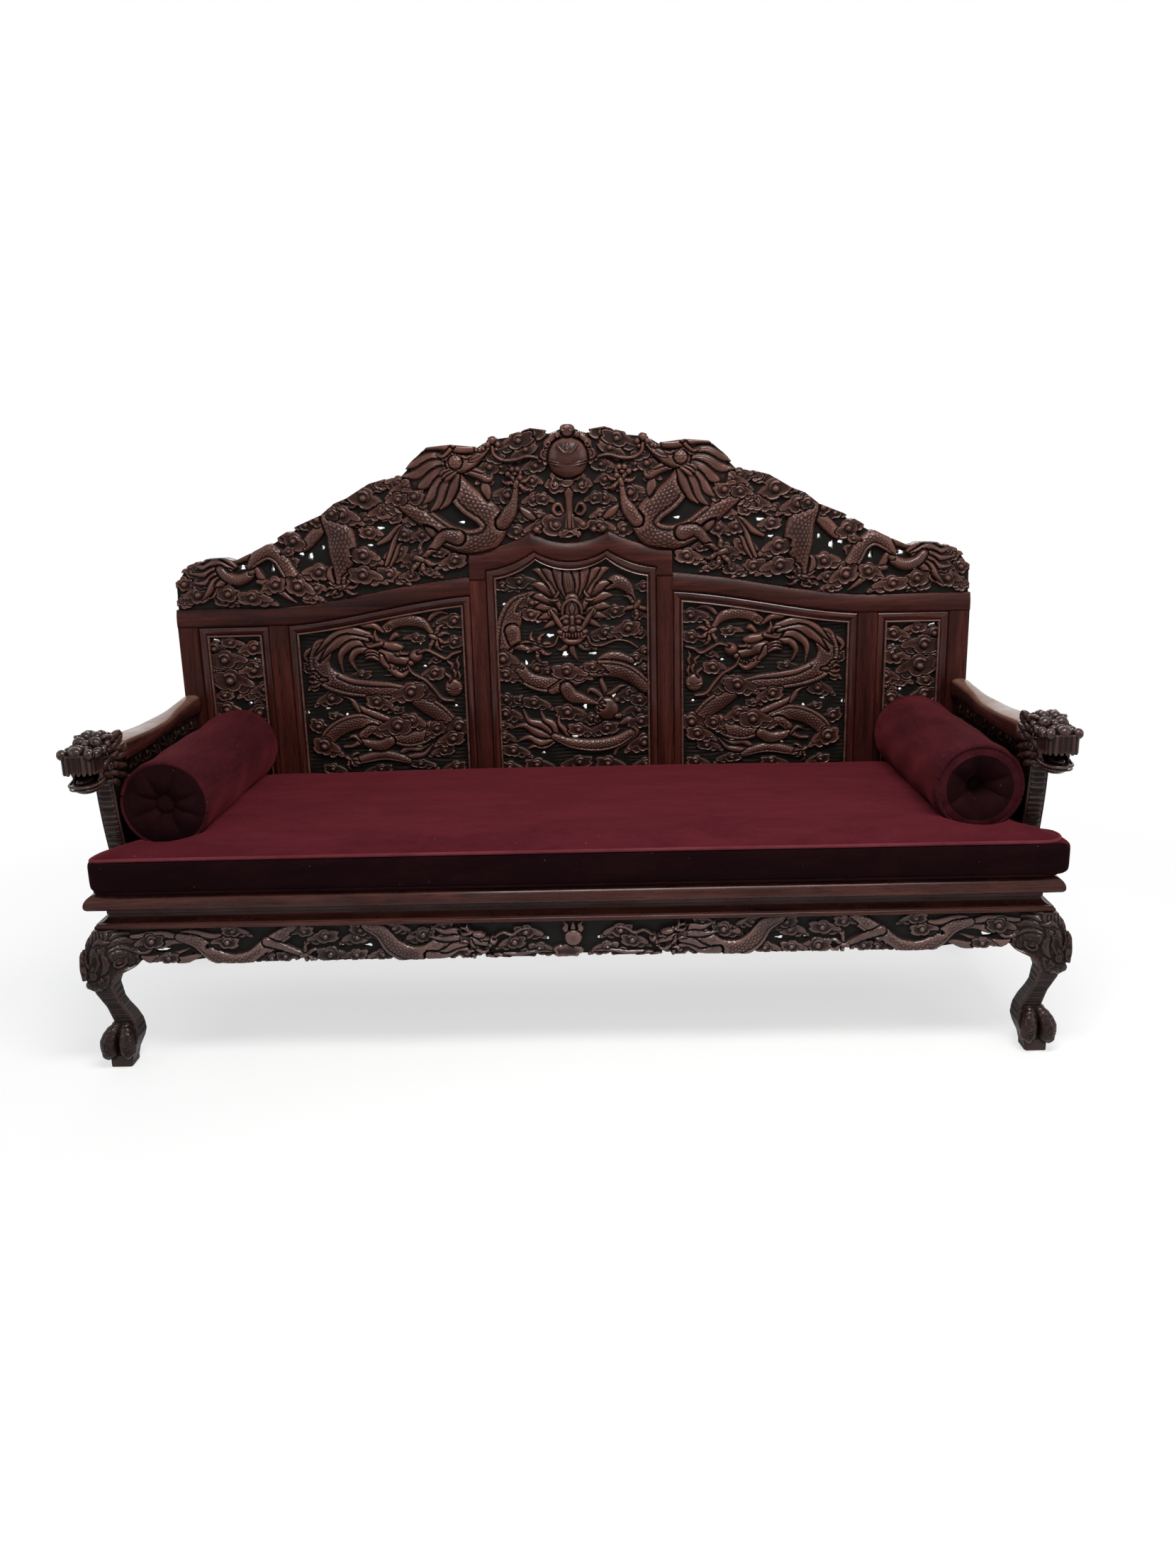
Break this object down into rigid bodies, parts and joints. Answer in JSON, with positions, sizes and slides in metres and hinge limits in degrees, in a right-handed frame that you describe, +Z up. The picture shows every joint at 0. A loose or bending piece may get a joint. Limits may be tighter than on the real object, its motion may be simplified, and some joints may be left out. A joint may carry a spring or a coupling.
{
  "type": "luohan daybed",
  "caption": "Carved hardwood luohan daybed with a stepped panelled back, a dragon crest, dragon-head arms, cabriole legs, a velvet seat cushion and two bolsters.",
  "frame": {"origin": "on the floor, under the centre of the couch's outline", "axes": "+Z up, +X to the right as seen from the front, -Y towards the front"},
  "size_m": [2.25, 0.863, 1.445],
  "materials": {
    "frame_wood": "satin polished rosewood frame members",
    "carved_wood": "satin polished carved rosewood",
    "plain_wood": "plain oiled hardwood",
    "velvet_cushion": "burgundy velvet",
    "velvet_bolsters": "burgundy velvet",
    "velvet_buttons": "burgundy velvet"
  },
  "bodies": {
    "frame": {"apron_front": "carved_wood", "apron_left": "carved_wood", "apron_rear": "carved_wood", "apron_right": "carved_wood", "arm_head_left": "carved_wood", "arm_head_right": "carved_wood", "arm_panel_left": "carved_wood", "arm_panel_right": "carved_wood", "arm_post_left": "carved_wood", "arm_post_right": "carved_wood", "arm_rail_left": "frame_wood", "arm_rail_right": "frame_wood", "arm_sill_left": "frame_wood", "arm_sill_right": "frame_wood", "back_bottom_rail": "frame_wood", "base_strip_front": "frame_wood", "base_strip_left": "frame_wood", "base_strip_rear": "frame_wood", "base_strip_right": "frame_wood", "centre_moulding": "frame_wood", "centre_panel": "carved_wood", "centre_stile_left": "frame_wood", "centre_stile_right": "frame_wood", "centre_top_rail": "frame_wood", "crest": "carved_wood", "divider_left": "frame_wood", "divider_right": "frame_wood", "inner_moulding_left": "frame_wood", "inner_moulding_right": "frame_wood", "inner_panel_left": "carved_wood", "inner_panel_right": "carved_wood", "joinery_pegs": "plain_wood", "leg_front_left": "carved_wood", "leg_front_right": "carved_wood", "leg_rear_left": "carved_wood", "leg_rear_right": "carved_wood", "outer_moulding_left": "frame_wood", "outer_moulding_right": "frame_wood", "outer_panel_left": "carved_wood", "outer_panel_right": "carved_wood", "outer_post_left": "frame_wood", "outer_post_right": "frame_wood", "seat_battens": "plain_wood", "seat_boards": "plain_wood", "seat_rail_front": "frame_wood", "seat_rail_left": "frame_wood", "seat_rail_rear": "frame_wood", "seat_rail_right": "frame_wood", "side_top_rail_left": "frame_wood", "side_top_rail_right": "frame_wood", "waist_front": "frame_wood", "waist_left": "frame_wood", "waist_rear": "frame_wood", "waist_right": "frame_wood"},
    "cushion": {"seat_cushion": "velvet_cushion"},
    "bolster_left": {"bolster_left": "velvet_bolsters", "bolster_buttons_left": "velvet_buttons"},
    "bolster_right": {"bolster_right": "velvet_bolsters", "bolster_buttons_right": "velvet_buttons"}
  },
  "joints": [
    {"name": "cushion_pull", "type": "slide", "parent": "frame", "child": "cushion", "axis": [0, -1, 0], "range_m": [0, 0.36]},
    {"name": "bolster_left_lift", "type": "slide", "parent": "cushion", "child": "bolster_left", "axis": [0.5, 0, 0.866], "range_m": [0, 0.35]},
    {"name": "bolster_right_lift", "type": "slide", "parent": "cushion", "child": "bolster_right", "axis": [-0.5, 0, 0.866], "range_m": [0, 0.35]}
  ]
}
